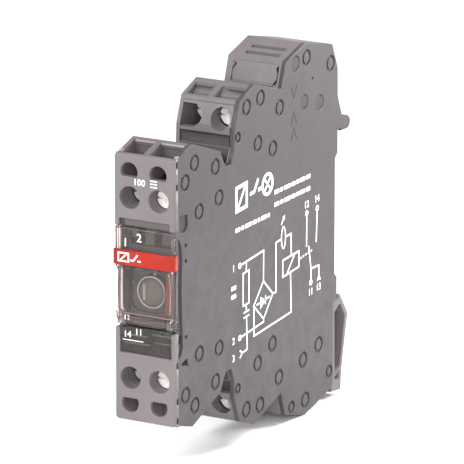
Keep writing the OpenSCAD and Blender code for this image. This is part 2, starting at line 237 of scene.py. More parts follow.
# one for each material slot of the record
MATERIALS = {
    "casing_grey": moulded_plastic("casing_grey_plastic", (0.128, 0.112, 0.118)),
    # the side cover's grey is darker than the casing's as painted shade on the side, and its corners get a
    # stronger painted highlight
    "cover_grey": moulded_plastic("cover_grey_shaded_plastic", (0.052, 0.046, 0.0503), edge=1.7),
    "plate_grey": moulded_plastic("plate_grey_plastic", (0.145, 0.125, 0.130), 0.45),
    "tier_plate_grey": moulded_plastic("tier_plate_plastic", (0.135, 0.118, 0.123)),
    "bezel_dark": moulded_plastic("bezel_plastic", (0.098, 0.096, 0.086), 0.42),
    "clear_plastic": clear_plastic("cover_clear", (0.86, 0.80, 0.79), 0.03, 0.975),
    "red_plastic": moulded_plastic("band_red_plastic", (0.325, 0.0125, 0.0035), 0.36, specular=0.3),
    "bright_steel": plated_metal("screw_nickel", (1.0, 0.955, 0.93), 0.5, (1, 1, 1), 0.0002, 0.35),
    "smoked_plastic": clear_plastic("window_smoked", (0.42, 0.40, 0.39), 0.04, 0.93),
    "lens_plastic": clear_plastic("lens_clear", (0.30, 0.31, 0.27), 0.14, 0.6),
    "led_body": clear_plastic("led_diffused", (0.62, 0.78, 0.58), 0.35, 0.5),
    "board_green": varied("board_laminate", (0.015, 0.075, 0.030), (0.025, 0.105, 0.045), 1.2, 0.35),
    "marker_grey": moulded_plastic("marker_plastic", (0.133, 0.117, 0.123), 0.42, grain=0.5, depth=0.006),
    "foot_grey": moulded_plastic("foot_plastic", (0.118, 0.104, 0.110)),
    "relay_black": moulded_plastic("relay_base_plastic", (0.020, 0.020, 0.021), 0.5),
    "relay_case": clear_plastic("relay_case_translucent", (0.78, 0.72, 0.58), 0.3, 0.6),
    "bobbin_white": moulded_plastic("bobbin_plastic", (0.72, 0.68, 0.58), 0.5),
    "copper_wire": varied("winding_enamel", (0.36, 0.11, 0.03), (0.55, 0.19, 0.06), 0.2, 0.3,
                          metallic=0.8, stretch=(1, 8, 1)),
    "soft_iron": plated_metal("soft_iron_plated", (0.50, 0.50, 0.50), 0.36, (1, 0.1, 1)),
    "contact_bronze": plated_metal("contact_bronze_strip", (0.72, 0.44, 0.22), 0.3, (1, 0.1, 1)),
    "tinned_pin": plated_metal("pin_tinned", (0.66, 0.65, 0.60), 0.34),
    "capacitor_film": moulded_plastic("capacitor_dipped", (0.42, 0.035, 0.020), 0.3),
    "resistor_body": varied("resistor_cement", (0.42, 0.34, 0.20), (0.52, 0.43, 0.27), 0.6, 0.7),
    "busbar_brass": plated_metal("busbar_brass_strip", (0.76, 0.56, 0.26), 0.28, (0.1, 1, 1)),
    "clamp_steel": plated_metal("clamp_zinc", (0.62, 0.64, 0.66), 0.34),
}

# finishes of pieces that stand beside a slot's own material: most are painted highlights and painted shade
# pale frosted plastic, as painted highlight on the lens rim, the pips behind the flap and the window ribs
HIGHLIGHT_FROSTED = varied("frosted_painted_highlight", (0.52, 0.49, 0.47), (0.62, 0.59, 0.56), 1.0, 0.3)
# light grey frosted plastic, as painted highlight on the lens dome
SOFT_HIGHLIGHT = varied("lens_painted_highlight_frosted", (0.26, 0.26, 0.235), (0.35, 0.35, 0.315), 1.0, 0.4)
# near-black, as painted shade in the hollow behind the flap
DEEP_SHADE = moulded_plastic("hollow_painted_shade_plastic", (0.010, 0.009, 0.009), 0.8, specular=0.1)
# pinkish frosted plastic, as painted highlight on the flap's edges
PINK_HIGHLIGHT = varied("flap_edge_painted_highlight", (0.40, 0.29, 0.285), (0.50, 0.37, 0.36), 1.0, 0.3)
TINT = clear_plastic("band_leg_red", (0.62, 0.14, 0.11), 0.15, 0.7)
# dark grey, as painted shade in recesses, slot floors, grooves and engraved marks
SHADE = moulded_plastic("painted_shade_plastic", (0.034, 0.030, 0.032), 0.6)
# light grey, as painted highlight on rims and wall tips
TIP_HIGHLIGHT = moulded_plastic("painted_highlight_plastic", (0.225, 0.192, 0.198), 0.3, specular=0.5)
# mid grey, as painted shade in the top plate's recess and beside the lens streak
RECESS_SHADE = moulded_plastic("painted_mid_shade_plastic", (0.082, 0.074, 0.077), 0.55)
WHITE_INK = ink("print_white", (0.86, 0.85, 0.84))

# ---------------------------------------------------------------- carried-over nodes

SLOT_OF = {s["node"]: s["material_slot"] for s in frame["record"]["subparts"]}
for name, node in NODES.items():
    node.data.materials.clear()
    node.data.materials.append(MATERIALS[SLOT_OF[name]])

# ---------------------------------------------------------------- mesh helpers

# Each plane maps an outline's two coordinates and its height to X, Y and Z.
PLANES = {
    "side": Matrix(((0, 0, 1), (1, 0, 0), (0, 1, 0))),      # outline in Y and Z, height along +X
    "front": Matrix(((1, 0, 0), (0, 0, -1), (0, 1, 0))),    # outline in X and Z, height along -Y
    "top": Matrix(((1, 0, 0), (0, 1, 0), (0, 0, 1))),       # outline in X and Y, height along +Z
}


def slab(loops, low, high, rounding, plane):
    """A mesh between two heights, flat at both and rounded at the edges, in millimetres.

    A loop inside a loop is a hole.
    """
    curve = bpy.data.curves.new("slab", "CURVE")
    curve.dimensions = "2D"
    curve.fill_mode = "BOTH"
    curve.extrude = (high - low) / 2 - rounding
    curve.bevel_depth = rounding
    curve.bevel_resolution = 3
    curve.offset = -rounding
    for loop in loops:
        spline = curve.splines.new("POLY")
        spline.points.add(len(loop) - 1)
        for point, place in zip(spline.points, loop):
            point.co = (*place, 0, 1)
        spline.use_cyclic_u = True
    holder = bpy.data.objects.new("slab", curve)
    mesh = bpy.data.meshes.new_from_object(holder)
    bpy.data.objects.remove(holder)
    for face in mesh.polygons:
        face.use_smooth = abs(face.normal.z) < 0.999
    mesh.transform(Matrix.Translation((0, 0, (low + high) / 2)))
    mesh.transform(PLANES[plane].to_4x4())
    return mesh


def finished(bm, name, smooth=True):
    """The mesh of a bmesh, with its faces turned outwards."""
    bmesh.ops.recalc_face_normals(bm, faces=bm.faces)
    mesh = bpy.data.meshes.new(name)
    bm.to_mesh(mesh)
    bm.free()
    if smooth:
        mesh.shade_smooth()
    return mesh


def closed_sheets(name, grids):
    """A thin shell: two grids of points, one for each face, joined round their edges."""
    bm = bmesh.new()
    sheets = []
    for grid in grids:
        sheet = [[bm.verts.new(point) for point in row] for row in grid]
        sheets.append(sheet)
        for upper, lower in zip(sheet, sheet[1:]):
            for k in range(len(upper) - 1):
                bm.faces.new((upper[k], upper[k + 1], lower[k + 1], lower[k]))
    rims = [[row[0] for row in sheet] + sheet[-1][1:] + [row[-1] for row in sheet[-2::-1]] + sheet[0][-2:0:-1]
            for sheet in sheets]
    for k in range(len(rims[0])):
        bm.faces.new((rims[0][k - 1], rims[0][k], rims[1][k], rims[1][k - 1]))
    return finished(bm, name)


def lathe(profile, centre, steps=64):
    """A closed mesh round an axis along Y, from (radius, y) points that begin and end on the axis."""
    bm = bmesh.new()
    rings = []
    for radius, y in profile:
        if radius == 0:
            rings.append([bm.verts.new((centre[0], y, centre[1]))])
            continue
        rings.append([bm.verts.new((centre[0] + radius * math.cos(t), y, centre[1] + radius * math.sin(t)))
                      for t in (2 * math.pi * k / steps for k in range(steps))])
    for a, b in zip(rings, rings[1:]):
        for k in range(steps):
            corners = [a[k % len(a)], a[(k + 1) % len(a)], b[(k + 1) % len(b)], b[k % len(b)]]
            bm.faces.new(list(dict.fromkeys(corners)))
    return finished(bm, "lathe")


def torus(major, minor, centre, y, steps=72, sides=14):
    """A ring of round section round an axis along Y."""
    bm = bmesh.new()
    rings = []
    for t in (2 * math.pi * k / steps for k in range(steps)):
        ring = []
        for u in (2 * math.pi * j / sides for j in range(sides)):
            reach = major + minor * math.cos(u)
            x, z = centre[0] + reach * math.cos(t), centre[1] + reach * math.sin(t)
            ring.append(bm.verts.new((x, y + minor * math.sin(u), z)))
        rings.append(ring)
    for k in range(steps):
        here, following = rings[k], rings[(k + 1) % steps]
        for j in range(sides):
            i = (j + 1) % sides
            bm.faces.new((here[j], here[i], following[i], following[j]))
    return finished(bm, "torus")


def piece(name, meshes, body, slot, replaces=(), material=None):
    """Joins meshes given in millimetres into one object that rides on a body.

    It has its slot's material unless another is given, and stands for the nodes that it replaces.
    """
    bm = bmesh.new()
    for mesh in meshes:
        bm.from_mesh(mesh)
        bpy.data.meshes.remove(mesh)
    bmesh.ops.scale(bm, vec=(MM, MM, MM), verts=bm.verts)
    joined = bpy.data.meshes.new(name)
    bm.to_mesh(joined)
    bm.free()
    joined.materials.append(material or MATERIALS[slot])
    made = bpy.data.objects.new(name, joined)
    bpy.context.scene.collection.objects.link(made)
    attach(made, body)
    if replaces:
        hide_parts(*replaces)
    return made


def arc(centre, radius, start, end, steps=None):
    """Points on an arc between two angles in degrees, both ends included."""
    steps = steps or max(3, round(abs(end - start) / 8))
    angles = [math.radians(start + (end - start) * k / steps) for k in range(steps + 1)]
    return [(centre[0] + radius * math.cos(t), centre[1] + radius * math.sin(t)) for t in angles]


def circle(centre, radius, steps=48):
    """Points once round a circle."""
    return arc(centre, radius, 0, 360, steps)[:-1]


def rectangle(x0, y0, x1, y1, corner=0.0):
    """A rectangle, with round corners if corner isn't 0."""
    if corner == 0:
        return [(x0, y0), (x1, y0), (x1, y1), (x0, y1)]
    centres = [(x1 - corner, y0 + corner, -90), (x1 - corner, y1 - corner, 0),
               (x0 + corner, y1 - corner, 90), (x0 + corner, y0 + corner, 180)]
    return [p for x, y, start in centres for p in arc((x, y), corner, start, start + 90, 4)]


def inset(loop, t):
    """An outline moved by t to the right of its own direction: inwards when it runs clockwise."""
    moved = []
    for k, point in enumerate(loop):
        before, here, after = Vector(loop[k - 1]), Vector(point), Vector(loop[(k + 1) % len(loop)])
        u, v = (here - before).normalized(), (after - here).normalized()
        nu, nv = Vector((u.y, -u.x)), Vector((v.y, -v.x))
        moved.append(tuple(here + t * (nu + nv) / (1 + nu.dot(nv))))
    return moved


def mirrored(points):
    """The same [y, z] points below the middle of the rail, in reverse order."""
    return [(y, -z) for y, z in reversed(points)]


def stroke(points, width, closed=False):
    """Outline loops of a line with mitred corners, drawn along points."""
    places = [Vector(p) for p in points]
    count = len(places)
    left, right = [], []
    for k, here in enumerate(places):
        before = places[k - 1] if closed or k else None
        after = places[(k + 1) % count] if closed or k < count - 1 else None
        u = (here - before).normalized() if before else (after - here).normalized()
        v = (after - here).normalized() if after else u
        nu, nv = Vector((-u.y, u.x)), Vector((-v.y, v.x))
        step = width / 2 * (nu + nv) / (1 + nu.dot(nv))
        left.append(tuple(here + step))
        right.append(tuple(here - step))
    return [left, right] if closed else [left + right[::-1]]


def printed(shapes, level, plane):
    """Flat printed shapes, each a list of loops, standing INK above a level."""
    return [slab(loops, level - INK_SUNK, level + INK, 0.0, plane) for loops in shapes]


def figures(text, at, size, level, plane):
    """Plain numerals, centred."""
    curve = bpy.data.curves.new("figures", "FONT")
    curve.body, curve.size = text, size
    curve.align_x, curve.align_y = "CENTER", "CENTER"
    curve.extrude = (INK + INK_SUNK) / 2
    curve.offset = 0.012 * size
    curve.resolution_u = 4
    holder = bpy.data.objects.new("figures", curve)
    mesh = bpy.data.meshes.new_from_object(holder)
    bpy.data.objects.remove(holder)
    mesh.transform(Matrix.Translation((*at, level + (INK - INK_SUNK) / 2)))
    mesh.transform(PLANES[plane].to_4x4())
    return mesh


# ---------------------------------------------------------------- side cover

FRONT_Y = -63.9                     # front edge of the side cover
STEP_Y = -62.2                      # where the cover's raised skin begins, beside the clear flap
COVER_IN = 5.53                     # inner face of the cover
SKIN = 0.42                         # depth of the ring grooves
SKIN_ROUND = 0.13                   # rounding of their edges
MARK_R, GROOVE = 1.66, 0.52         # radius of a ring mark and width of its groove
MARK_MARGIN = 0.4                   # least distance from a mark to the edge of the cover
UPPER_RUN = [(FRONT_Y, 26.3), (-58.4, 27.95), (-47.5, 24.1), (-46.1, 21.6), (-45.1, 20.5), (-43.2, 20.5),
             (-42.2, 23), (-42, 26.9), (-40, 32.1), (-34.2, 34.25), (-23.2, 30.95), (-21.5, 35.95),
             (-13.6, 38.2), (-2.4, 35.6), (-0.1, 30.4)]
HOOK_RUN = [(0, 24.6), (1.9, 19.9), (4.1, 19.7), (4.8, 19.3), (5.2, 18.7), (5.2, 18), (4.8, 17.3), (4, 17),
            (1.3, 17.1), (1.3, 17.6), (0, 17.6)]
REAR_RUN = [(0, 12.9), (-1, 11.9), (-1, -11.9), (0, -12.9), (0, -17.6), (-1.4, -17.6), (-1.4, -33.2)]
HINGE = (-64.2, -6.5)               # of the clear flap, as [y, z]
GRIP = (-64.2, 5.0)                 # finger hollow at the flap's edge
# ring marks: those with a mirror image below the rail, and those without
TWIN_MARKS = [(-57.4, 24), (-49.4, 21.4), (-61, 21), (-48, 15), (-55.7, 14.1), (-37.2, 30.4), (-31.7, 31),
              (-24, 27.4), (-40.6, 25.2), (-32.7, 22.2), (-26.7, 19.8), (-13.1, 35.1), (-3.1, 31.8)]
LOW_MARKS = [(-14.1, -26.5), (-7.6, -25), (-18.8, -35)]
COVER_HOLES = [(-17.6, 34.8), (-14, 26.3), (-7.6, 24.9)]
PEG_HOLES = [(-60.8, 8.7), (-60.8, 5.6), (-60.8, -9.4)]
HOLE_R, PEG_R = 1.6, 0.4            # radii of those holes


def bite(centre, radius, edge_y):
    """Arc that a round hollow cuts out of the front edge, from below to above."""
    reach = math.degrees(math.acos((edge_y - centre[0]) / radius))
    return arc(centre, radius, -reach, reach)


def outline(front):
    """The cover's outline, with its front edge given from below to above."""
    return UPPER_RUN + HOOK_RUN + REAR_RUN + mirrored(UPPER_RUN[:-1]) + front


def room(place, loop):
    """Distance from a point to the nearest edge of an outline."""
    p = Vector(place)
    gaps = []
    for a, b in zip(loop, loop[1:] + loop[:1]):
        start, way = Vector(a), Vector(b) - Vector(a)
        t = max(0.0, min(1.0, (p - start).dot(way) / way.length_squared))
        gaps.append((p - start - t * way).length)
    return min(gaps)


def chevron(y, z, way):
    """Outline of a V whose point is at (y, z) and opens upwards, or downwards when way is -1; it is printed in
    painted shade where the real V is engraved.
    """
    half = [(-1.3, 2.6), (-0.95, 2.6), (0, 0.5), (0.95, 2.6), (1.3, 2.6), (0.15, 0), (-0.15, 0)]
    return [(y + a, z + way * b) for a, b in half]


def sunk_floor(at, radius, deep, shallow, back):
    """A disc that fills a side hole up to a slanted floor, which is deeper towards the front."""
    steps = 48
    slope = (deep - shallow) / (2 * radius)
    bm = bmesh.new()
    ring = [(at[0] + radius * math.cos(t), at[1] + radius * math.sin(t)) for t in
            (2 * math.pi * k / steps for k in range(steps))]
    low = [bm.verts.new((back, y, z)) for y, z in ring]
    high = [bm.verts.new((SIDE_X - deep + slope * (y - at[0] + radius), y, z)) for y, z in ring]
    bm.faces.new(low[::-1])
    bm.faces.new(high)
    for k in range(steps):
        j = (k + 1) % steps
        bm.faces.new((low[k], low[j], high[j], high[k]))
    return finished(bm, "floor", smooth=False)


def make_side_cover():
    """The cover as a plain base under a raised skin, in which the ring grooves are cut."""
    base_front = bite(HINGE, 1.2, FRONT_Y) + bite(GRIP, 1.3, FRONT_Y)
    step = [(FRONT_Y, -13.2), (STEP_Y - 0.6, -12.6), (STEP_Y + 0.1, -11.4), (STEP_Y, -8), (STEP_Y - 0.25, -4),
            (STEP_Y - 0.35, 0), (STEP_Y - 0.2, 4), (STEP_Y, 6.5), (STEP_Y - 0.4, 9), (STEP_Y - 1, 10.2),
            (FRONT_Y, 10.6)]
    skin_outline, base_outline = outline(step), outline(base_front)
    slot = [(-63.1, 14.9), (-60.2, 14.6)] + arc((-61.6, 12.9), 1.5, 0, -180, 16)
    notch = [(-62.9, -14.5), (-60.4, -13.7), (-59.9, -15.3)]
    holes = [notch] + [circle(at, PEG_R, 20) for at in PEG_HOLES] + [circle(at, HOLE_R) for at in COVER_HOLES]
    grooves = []
    for at in TWIN_MARKS + mirrored(TWIN_MARKS) + LOW_MARKS:
        radius = min(MARK_R, room(at, skin_outline) - MARK_MARGIN)
        grooves += [circle(at, radius), circle(at, radius - GROOVE)]
    chevrons = [chevron(-18.2, 27.9, 1), chevron(-18.2, 25.4, -1), chevron(-18.2, 22.2, -1)]
    dot = circle((-10.6, 30.4), 0.3, 16)
    latch_hole = circle((-62.85, -9.6), 0.85, 32)
    bottom = SIDE_X - SKIN              # of the grooves
    skin_loops = [skin_outline, slot, dot] + holes + grooves
    skin = slab(skin_loops, bottom - SKIN_ROUND, SIDE_X, SKIN_ROUND, "side")
    base = slab([inset(base_outline, 0.02), latch_hole] + holes, COVER_IN + 0.01, bottom, 0.0, "side")
    floors = [sunk_floor(at, HOLE_R + 0.02, 0.8, 0.12, COVER_IN + 0.02) for at in COVER_HOLES]
    piece("side_cover_moulding", [skin, base] + floors, "housing", "cover_grey", ["side_cover"])
    # painted shade on the floor of the slot
    slot_floor = slab([slot], bottom - 0.05, bottom + 0.1, 0.02, "side")
    piece("side_slot_shade", [slot_floor], "housing", "cover_grey", material=SHADE)
    # the chevrons are printed in painted shade, standing for engraved Vs
    marks = printed([[c] for c in chevrons], SIDE_X, "side")
    piece("side_chevron_shade", marks, "housing", "cover_grey", material=SHADE)


# ---------------------------------------------------------------- printing on the side

LINE = 0.36                         # width of the printed lines
# open lines of the circuit: each a list of [y, z] points
CIRCUIT = [
    [(-39.4, -0.5), (-30.4, 0.2), (-30.5, -6)],
    [(-37.3, -0.3), (-37.4, -2.5)],
    [(-37.4, -9), (-37.3, -10.4)],
    [(-38.4, -10.5), (-36.2, -10.35)],
    [(-38.4, -11.5), (-36.2, -11.35)],
    [(-37.25, -11.4), (-36.95, -18.15), (-38.9, -18.4)],
    [(-39.9, -17.7), (-38.9, -18.4), (-39.9, -19.2)],
    [(-39.4, -15.05), (-30.4, -14.3), (-30.4, -13.7)],
    [(-33.2, -10.2), (-27.9, -9.8)],
    [(-29.6, -9.1), (-29.7, -10.9)],
    [(-26.7, -9.5), (-25.4, -9.5), (-25.5, 0.5), (-23.4, 0.7)],
    [(-21.4, 0.8), (-19.3, 0.85), (-19.2, -3.6)],
    [(-23.3, 3.6), (-22, 5.1)],
    [(-22.7, 4.9), (-22, 5.1), (-22.1, 4.3)],
    [(-20.9, -6.9), (-17.8, -3.7)],
    [(-19.5, -7), (-19.15, -15.2), (-34.3, -16.2), (-34.3, -10.3)],
    [(-12.85, 3.0), (-12.9, -3.4)],
    [(-8.5, 3.0), (-8.9, -3.4)],
    [(-12, -3.45), (-11, -8.4), (-11.05, -10.7)],
    [(-11, -8.35), (-7.75, -8.5), (-7.7, -10.6)],
    [(-8.3, -11.6), (-7.7, -10.6), (-7.1, -11.6)],
]
# closed lines: resistor, bridge, the diode in it, and coil
CLOSED = [
    [(-38.6, -9), (-38.6, -2.5), (-36.3, -2.3), (-36.3, -8.9)],
    [(-30.5, -6), (-26.7, -9.5), (-30.4, -13.7), (-34.4, -10.1)],
    [(-31.5, -9.2), (-31.6, -11.1), (-29.9, -10.05)],
    [(-22.65, -3.8), (-16.05, -3.5), (-16.05, -6.7), (-22.65, -7.2)],
]
RINGS = [(-39.9, -0.55), (-39.9, -15.1), (-12.85, 3.45), (-8.5, 3.45), (-11.05, -11.2)]     # terminals
NUMBERS = [("1", (-42.4, -0.6)), ("2", (-42.4, -15.2)), ("3", (-42.4, -18.7)), ("12", (-12.9, 5.2)),
           ("14", (-8.6, 5.4)), ("11", (-11.1, -13.2)), ("13", (-7.8, -13.0))]
# rows of dashes: start in y, foot in z, length
DASH_ROWS = [(-41.7, 6.4, 13.7), (-26.1, 10.4, 14.6), (-26.1, 7.9, 14.6),
             (-43.3, -4.9, 2.4), (-43.3, -6.6, 2.4)]


def dashes(y, z, length, height):
    """A row of plain dashes, as a stand-in for a line of words."""
    lengths = (1.9, 1.1, 2.6, 1.5, 0.9, 2.2)
    row, k, end = [], 0, y + length
    while y < end - 0.5:
        step = min(lengths[k % len(lengths)], end - y)
        row.append([rectangle(y, z, y + step, z + height, 0.15)])
        y, k = y + step + 0.45, k + 1
    return row


def make_side_print():
    shapes = [stroke(points, LINE) for points in CIRCUIT] + [stroke(points, LINE, True) for points in CLOSED]
    shapes += [[circle(at, 0.62, 24), circle(at, 0.3, 24)] for at in RINGS]
    shapes.append([[(-22.4 + half_y * a, 0.8 + half_z * b) for a, b in circle((0, 0), 1, 36)]
                   for half_y, half_z in ((0.98, 2.35), (0.66, 2.0))])
    shapes += [stroke([(-15.6 + k, -5.15 + k * 0.1), (-15 + k, -5.1 + k * 0.1)], LINE)
               for k in (0, 1.1, 2.2, 3.3, 4.4)]
    for y, z, length in DASH_ROWS:
        shapes += dashes(y, z, length, 0.85)
    # pictogram of a coil, a switch and a lamp
    shapes += [stroke([(-41.3, 10.6), (-37.2, 10.8), (-37.2, 15.4), (-41.3, 15.2)], 0.75, True),
               stroke([(-40.6, 11.2), (-37.9, 14.8)], 0.6),
               stroke([(-35.9, 12.8), (-34.3, 12.9), (-32.6, 15.2)], 0.75),
               stroke([(-32.7, 12.95), (-31.3, 13.05)], 0.75),
               [circle((-28.9, 13.2), 2.35), circle((-28.9, 13.2), 1.65)],
               stroke([(-30.0, 12.1), (-27.8, 14.3)], 0.5), stroke([(-30.0, 14.3), (-27.8, 12.1)], 0.5)]
    marks = [figures(text, at, 2.0, SIDE_X, "side") for text, at in NUMBERS]
    meshes = printed(shapes, SIDE_X, "side") + marks
    piece("side_printing", meshes, "housing", "cover_grey", material=WHITE_INK)


# ---------------------------------------------------------------- front plates

# Heights in the front plane are distances forward of the rail seat.
FRONT = -FACE_Y                     # face of the terminal plates
PLATE_BACK = FRONT - 1.3
WINDOW_FRONT = 64.9                 # face of the smoked window
BAND_FRONT = 65.75                  # face of the red band
BEZEL_FRONT = 61.85                 # face of the bezel behind the flap
PLATE_LEFT, PLATE_RIGHT = -6.6, 6.6
PLATE_END = 26.3                    # height of a plate's outer end
PLATE_CORNER = 0.7
BACK_GAP = 0.03                     # by which a plate's back layer is narrower than its face
TERM_Z = 17.8                       # height of the front screws
DRIVER_R = 2.15                     # of the round screwdriver holes
TEST_R, TEST_Z = 1.8, 22.85         # radius and height of the D-shaped test holes
TEST_FLAT = 0.95                    # from their middle down to their flat side
# outer radius, inner radius, near end and far end, behind a plate
TUBE_STEPS = [(2.58, DRIVER_R, 0.1, 1.2), (2.54, 2.08, 1.1, 2.3), (2.5, 2.0, 2.2, 3.4)]


def flipped(mesh):
    """The mirror image below the middle of the rail."""
    mesh.transform(Matrix.Diagonal((1, 1, -1, 1)))
    mesh.flip_normals()
    return mesh


def plate_holes():
    """Two round screwdriver holes with a D-shaped test hole above each."""
    low = math.degrees(math.asin(TEST_FLAT / TEST_R))
    holes = [circle((x, TERM_Z), DRIVER_R, 56) for x in TERM_X]
    return holes + [arc((x - 0.1, TEST_Z), TEST_R, -low, 180 + low, 30) for x in TERM_X]


def guide_tubes():
    """Tubes behind the round holes, in a few steps that narrow inwards."""
    tubes = []
    for x in TERM_X:
        for outer, inner, near, far in TUBE_STEPS:
            rings = [circle((x, TERM_Z), outer), circle((x, TERM_Z), inner)]
            tubes.append(slab(rings, PLATE_BACK - far, PLATE_BACK - near + 0.15, 0.04, "front"))
    return tubes


def notched_side(latches, low, high):
    """Right edge of a plate's back, from low to high, with a small gap at each latch."""
    edge, depth, half = PLATE_RIGHT - BACK_GAP, 0.55, 0.65
    side = [(edge, low)]
    for z in latches:
        side += [(edge, z - half), (edge - depth, z - half), (edge - depth, z + half), (edge, z + half)]
    return side + [(edge, high)]


def rounded_end(end):
    """The two round corners at a plate's outer end, from right to left."""
    r = PLATE_CORNER
    return arc((PLATE_RIGHT - r, end - r), r, 0, 90, 5) + arc((PLATE_LEFT + r, end - r), r, 90, 180, 5)


def plate_layers(face, back_shape):
    """A plate as a face with rounded edges over a notched back, with the tubes behind it."""
    front = slab([face] + plate_holes(), FRONT - 0.7, FRONT, 0.3, "front")
    back = slab([back_shape] + plate_holes(), PLATE_BACK, FRONT - 0.6, 0.0, "front")
    return [front, back] + guide_tubes()


def make_top_plate():
    left, right, end = PLATE_LEFT, PLATE_RIGHT, PLATE_END
    bottom, shelf = 12.15, 13.6         # lower edge, and top of the recess above the flap
    face = [(left, bottom), (-5.6, bottom), (-5.6, shelf), (5.3, shelf), (5.3, bottom), (right, bottom)]
    face += rounded_end(end)
    back = [(left + BACK_GAP, bottom)] + notched_side([20.8, 25.1], bottom, end - 0.05)
    back.append((left + BACK_GAP, end - 0.05))
    piece("top_plate_moulding", plate_layers(face, back), "housing", "plate_grey", ["top_terminal_plate"])
    # the recess strip is painted mid shade, and its left corner darker painted shade
    recess = slab([rectangle(-5.55, 12.2, 5.25, 13.55)], FRONT - 0.72, FRONT - 0.5, 0.05, "front")
    piece("top_plate_recess", [recess], "housing", "plate_grey", material=RECESS_SHADE)
    corner = slab([rectangle(-5.5, 12.25, -4.6, 13.5)], FRONT - 0.6, FRONT - 0.47, 0.03, "front")
    piece("top_plate_recess_corner", [corner], "housing", "plate_grey", material=SHADE)


def make_bottom_plate():
    """Drawn upside down and mirrored: two arms run up beside the smoked window."""
    left, right, end = PLATE_LEFT, PLATE_RIGHT, PLATE_END
    arm, top, arm_w = 8.0, 12.9, 0.95   # end of the arms, edge between them, and their width
    inner = [(left + arm_w, arm), (left + arm_w, top), (right - arm_w, top), (right - arm_w, arm)]
    face = [(left, arm)] + inner + [(right, arm)] + rounded_end(end)
    back = [(left + BACK_GAP, arm)] + inner + notched_side([14.3, 21.4, 25.3], arm, end - 0.05)
    back.append((left + BACK_GAP, end - 0.05))
    layers = [flipped(m) for m in plate_layers(face, back)]
    piece("bottom_plate_moulding", layers, "housing", "plate_grey", ["bottom_terminal_plate"])


def make_front_print():
    """Numerals and a pictogram of a switch in a frame, each riding with the piece that it is printed on."""
    bars = [[rectangle(1.3, z, 2.75, z + 0.22)] for z in (20.4, 21.0, 21.6)]
    plate = printed(bars, FRONT, "front") + [figures("100", (-1.1, 21.0), 1.75, FRONT, "front")]
    piece("plate_printing", plate, "housing", "plate_grey", material=WHITE_INK)
    window = [figures("11", (-1.6, -8.6), 1.7, WINDOW_FRONT, "front"),
              figures("14", (-4.1, -9.3), 1.7, WINDOW_FRONT, "front")]
    window += printed([[rectangle(-5.1, -10.45, -0.6, -10.3)]], WINDOW_FRONT, "front")
    piece("window_printing", window, "housing", "smoked_plastic", material=WHITE_INK)
    flap = [figures("1", (-4.2, 8.9), 2.3, FRONT, "front"), figures("2", (-1.2, 10.1), 2.3, FRONT, "front"),
            figures("12", (-4.1, -5.9), 1.4, 65.12, "front")]
    piece("flap_printing", flap, "front_flap", "clear_plastic", material=WHITE_INK)
    symbol = [stroke([(-5.5, 5.35), (-3.3, 5.35), (-3.3, 6.95), (-5.5, 6.95)], 0.3, True),
              stroke([(-5.0, 5.6), (-3.8, 6.7)], 0.28),
              stroke([(-2.9, 5.7), (-2.2, 5.7), (-1.3, 6.9)], 0.32),
              stroke([(-1.3, 5.7), (-0.6, 5.7)], 0.32)]
    pictogram = printed(symbol, BAND_FRONT, "front")
    piece("band_pictogram", pictogram, "front_flap", "red_plastic", material=WHITE_INK)


# ---------------------------------------------------------------- flap, band and lens

FLAP_X, FLAP_LOW, FLAP_TOP = 6.5, -5.2, 12.0
FLAP_WALL = 0.8                     # thickness of the flap's side walls
WAIST_X, WAIST_TOP = 5.8, 4.2       # where the left edge is drawn in beside the window
SHELL = 0.55                        # thickness of the bowed window
SHELL_EDGE = 0.7                    # width of its rounded border
BULGE_R, BULGE_TOP = 12.0, 4.4
KNUCKLES = ((-6.4, -5.45), (-4.35, 4.35), (5.45, 6.4))
KNUCKLE_R, KNUCKLE_BORE, PIN_R = 1.0, 0.66, 0.6


def bulge(z):
    """How far the flap's window stands out at a height."""
    return max(0.0, math.sqrt(BULGE_R ** 2 - (z + 0.5) ** 2) - BULGE_R + 1)


def bowed_shell(half_x, z0, z1, columns=36, rows=28):
    """The flap's curved window."""
    grids = []
    for depth, reach in ((0.0, half_x), (SHELL, half_x - SHELL)):
        grid = []
        for j in range(rows + 1):
            z = z0 + depth * 0.6 + (z1 - z0 - depth * 1.2) * j / rows
            row = []
            for i in range(columns + 1):
                x = reach * math.sin(math.pi * (i / columns - 0.5))
                edge = max(0.0, abs(x) - (reach - SHELL_EDGE)) / SHELL_EDGE
                row.append((x, FACE_Y + depth - bulge(z) * math.sqrt(max(0.0, 1 - edge ** 2)), z))
            grid.append(row)
        grids.append(grid)
    return closed_sheets("bowed", grids)


